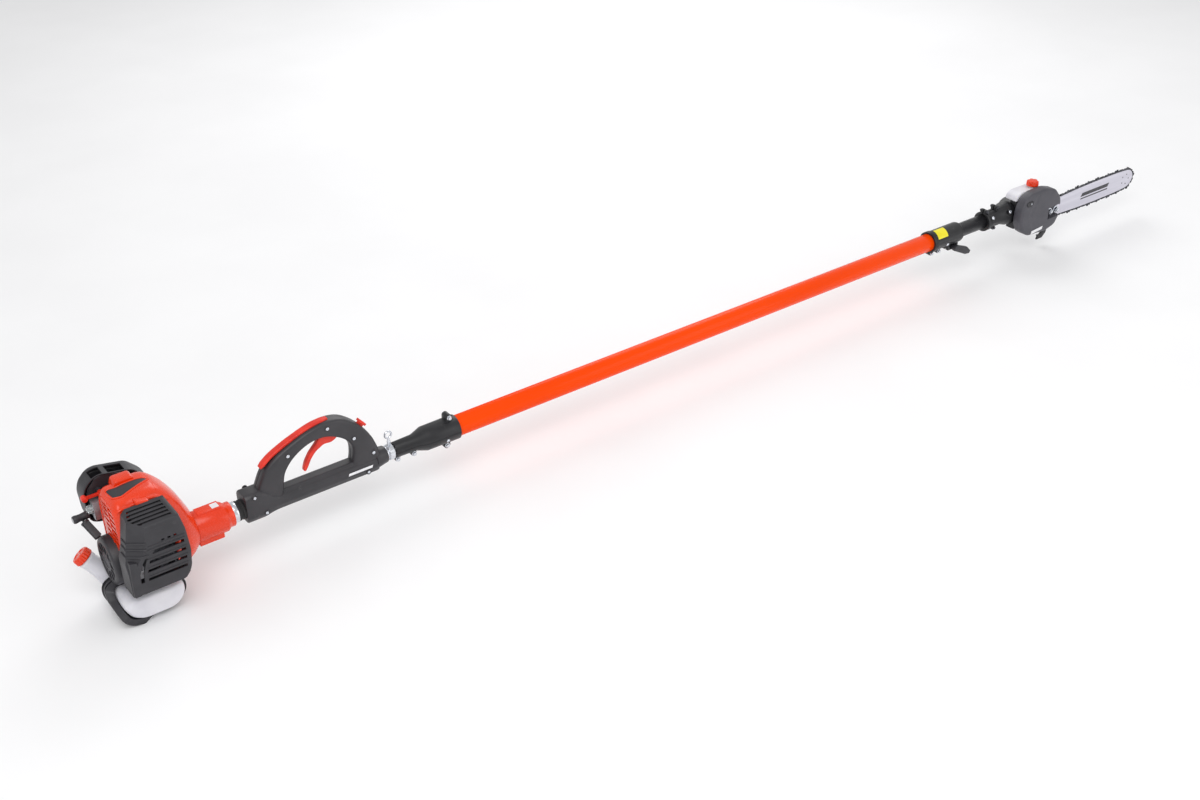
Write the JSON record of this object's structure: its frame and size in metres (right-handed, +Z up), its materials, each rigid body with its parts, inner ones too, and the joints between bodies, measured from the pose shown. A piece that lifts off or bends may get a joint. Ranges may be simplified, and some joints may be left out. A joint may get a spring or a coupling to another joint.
{
  "type": "telescoping pole saw",
  "caption": "Petrol telescoping pole saw: engine with rear starter, loop handle with trigger, sliding two-tube pole and a geared saw head with guide bar and chain.",
  "frame": {"origin": "middle of the underside of the tank stand, on the ground the tool stands on", "axes": "+X along the pole from the engine to the tip of the bar, +Z up, +Y to the air-cleaner side"},
  "size_m": [2.6981, 0.193, 0.243],
  "materials": {
    "orange_plastic": "moulded orange-red plastic, gloss",
    "orange_tube": "orange glass-fibre tube, gloss",
    "red_plastic": "moulded red plastic, satin",
    "black_plastic": "moulded black plastic, fine spark texture",
    "black_casting": "aluminium die casting, black powder coat",
    "black_tube": "aluminium tube, black anodised",
    "tank_plastic": "translucent white polyethylene",
    "rubber": "moulded rubber",
    "bulb_plastic": "clear soft plastic",
    "cast_aluminium": "bare die casting",
    "tube_aluminium": "bright drawn aluminium",
    "bright_steel": "ground or zinc-plated steel",
    "dark_steel": "oiled dark steel",
    "foam": "open-cell filter foam"
  },
  "bodies": {
    "powerhead_and_pole": {"engine_cover": "orange_plastic", "clutch_housing": "orange_plastic", "outer_tube": "orange_tube", "muffler_guard": "black_plastic", "intake_block": "black_plastic", "air_cleaner_base": "black_plastic", "air_cleaner_cover": "black_plastic", "starter_housing": "black_plastic", "rope_guide": "black_plastic", "tank_stand": "black_plastic", "handle_right": "black_plastic", "handle_left": "black_plastic", "spark_plug": "black_plastic", "lower_coupling_top": "black_casting", "lower_coupling_bottom": "black_casting", "upper_coupling": "black_casting", "fuel_tank": "tank_plastic", "isolator_sleeve": "rubber", "crankcase": "cast_aluminium", "cylinder": "cast_aluminium", "piston": "cast_aluminium", "carburettor": "cast_aluminium", "shaft_tube": "tube_aluminium", "tube_ring": "tube_aluminium", "trigger_pin": "bright_steel", "harness_eye": "bright_steel", "clamp_stud": "bright_steel", "muffler": "dark_steel", "air_filter": "foam"},
    "crank": {"crankshaft": "bright_steel", "flywheel": "cast_aluminium", "clutch_shoes": "dark_steel"},
    "lower_drive": {"clutch_drum": "dark_steel", "lower_drive_shaft": "dark_steel"},
    "reel": {"starter_reel": "black_plastic"},
    "grip": {"starter_grip": "black_plastic"},
    "choke": {"choke_lever": "red_plastic"},
    "primer": {"primer_bulb": "bulb_plastic"},
    "cleaner_knob": {"air_cleaner_knob": "black_plastic"},
    "fuel_filler_cap": {"fuel_cap": "orange_plastic"},
    "trigger": {"throttle_trigger": "red_plastic"},
    "lockout": {"lockout_strip": "red_plastic"},
    "stop": {"stop_switch": "red_plastic"},
    "clamp_wing": {"clamp_knob": "black_plastic"},
    "saw": {"inner_tube": "black_tube", "slide_bush": "black_plastic", "gear_head": "black_casting", "oil_tank": "tank_plastic", "guide_bar": "bright_steel", "saw_chain": "dark_steel", "side_cover": "black_plastic", "branch_hook": "black_casting", "bar_stud_rear": "bright_steel", "bar_stud_front": "bright_steel", "bar_nut_rear": "bright_steel", "bar_nut_front": "bright_steel"},
    "upper_drive": {"upper_drive_shaft": "bright_steel", "pinion": "dark_steel"},
    "sprocket": {"sprocket_axle": "dark_steel"},
    "oil_filler_cap": {"oil_cap": "orange_plastic"}
  },
  "joints": [
    {"name": "telescope", "type": "slide", "parent": "powerhead_and_pole", "child": "saw", "axis": [1, 0, 0], "range_m": [0, 1.215]},
    {"name": "crank_spin", "type": "hinge", "parent": "powerhead_and_pole", "child": "crank", "pos_m": [0.025, 0, 0.107], "axis": [1, 0, 0], "continuous": true},
    {"name": "lower_drive_spin", "type": "hinge", "parent": "powerhead_and_pole", "child": "lower_drive", "pos_m": [0.105, 0, 0.107], "axis": [1, 0, 0], "continuous": true},
    {"name": "upper_drive_spin", "type": "hinge", "parent": "saw", "child": "upper_drive", "pos_m": [2.145, 0, 0.107], "axis": [1, 0, 0], "continuous": true},
    {"name": "sprocket_spin", "type": "hinge", "parent": "saw", "child": "sprocket", "pos_m": [2.207, 0, 0.099], "axis": [0, 1, 0], "continuous": true},
    {"name": "reel_turn", "type": "hinge", "parent": "powerhead_and_pole", "child": "reel", "pos_m": [-0.023, 0, 0.107], "axis": [1, 0, 0], "range_deg": [0, 86], "stiffness_Nm_per_rad": 0.08, "springref_deg": -28.65},
    {"name": "grip_pull", "type": "slide", "parent": "powerhead_and_pole", "child": "grip", "axis": [-0.2999, 0.7498, 0.5898], "range_m": [0, 0.0505]},
    {"name": "choke_turn", "type": "hinge", "parent": "powerhead_and_pole", "child": "choke", "pos_m": [-0.008, 0.047, 0.207], "axis": [0, 1, 0], "range_deg": [0, 45]},
    {"name": "primer_press", "type": "slide", "parent": "powerhead_and_pole", "child": "primer", "axis": [1, 0, 0], "range_m": [0, 0.0035], "stiffness_N_per_m": 400, "springref_m": -0.001},
    {"name": "cleaner_knob_turn", "type": "hinge", "parent": "powerhead_and_pole", "child": "cleaner_knob", "pos_m": [0.02, 0.095, 0.193], "axis": [0, 1, 0], "range_deg": [0, 90]},
    {"name": "fuel_cap_lift", "type": "slide", "parent": "powerhead_and_pole", "child": "fuel_filler_cap", "axis": [-0.5535, 0.3522, 0.7547], "range_m": [0, 0.03]},
    {"name": "trigger_squeeze", "type": "hinge", "parent": "powerhead_and_pole", "child": "trigger", "pos_m": [0.389, 0, 0.193], "axis": [0, 1, 0], "range_deg": [0, 16], "stiffness_Nm_per_rad": 0.5, "springref_deg": -17.19},
    {"name": "lockout_press", "type": "hinge", "parent": "powerhead_and_pole", "child": "lockout", "pos_m": [0.379, 0, 0.225], "axis": [0, 1, 0], "range_deg": [-2, 0], "stiffness_Nm_per_rad": 6, "springref_deg": 2.86},
    {"name": "stop_slide", "type": "slide", "parent": "powerhead_and_pole", "child": "stop", "axis": [0.6428, 0, -0.766], "range_m": [0, 0.0045]},
    {"name": "clamp_wing_turn", "type": "hinge", "parent": "powerhead_and_pole", "child": "clamp_wing", "pos_m": [1.991, -0.017, 0.077], "axis": [0, 1, 0], "range_deg": [0, 100]},
    {"name": "oil_cap_lift", "type": "slide", "parent": "saw", "child": "oil_filler_cap", "axis": [0, 0, 1], "range_m": [0, 0.03]}
  ],
  "couplings": [
    {"joint": "lower_drive_spin", "follows": "crank_spin", "ratio": 1},
    {"joint": "upper_drive_spin", "follows": "crank_spin", "ratio": 1},
    {"joint": "sprocket_spin", "follows": "crank_spin", "ratio": 0.5},
    {"joint": "grip_pull", "follows": "reel_turn", "m_per_rad": 0.0334}
  ]
}
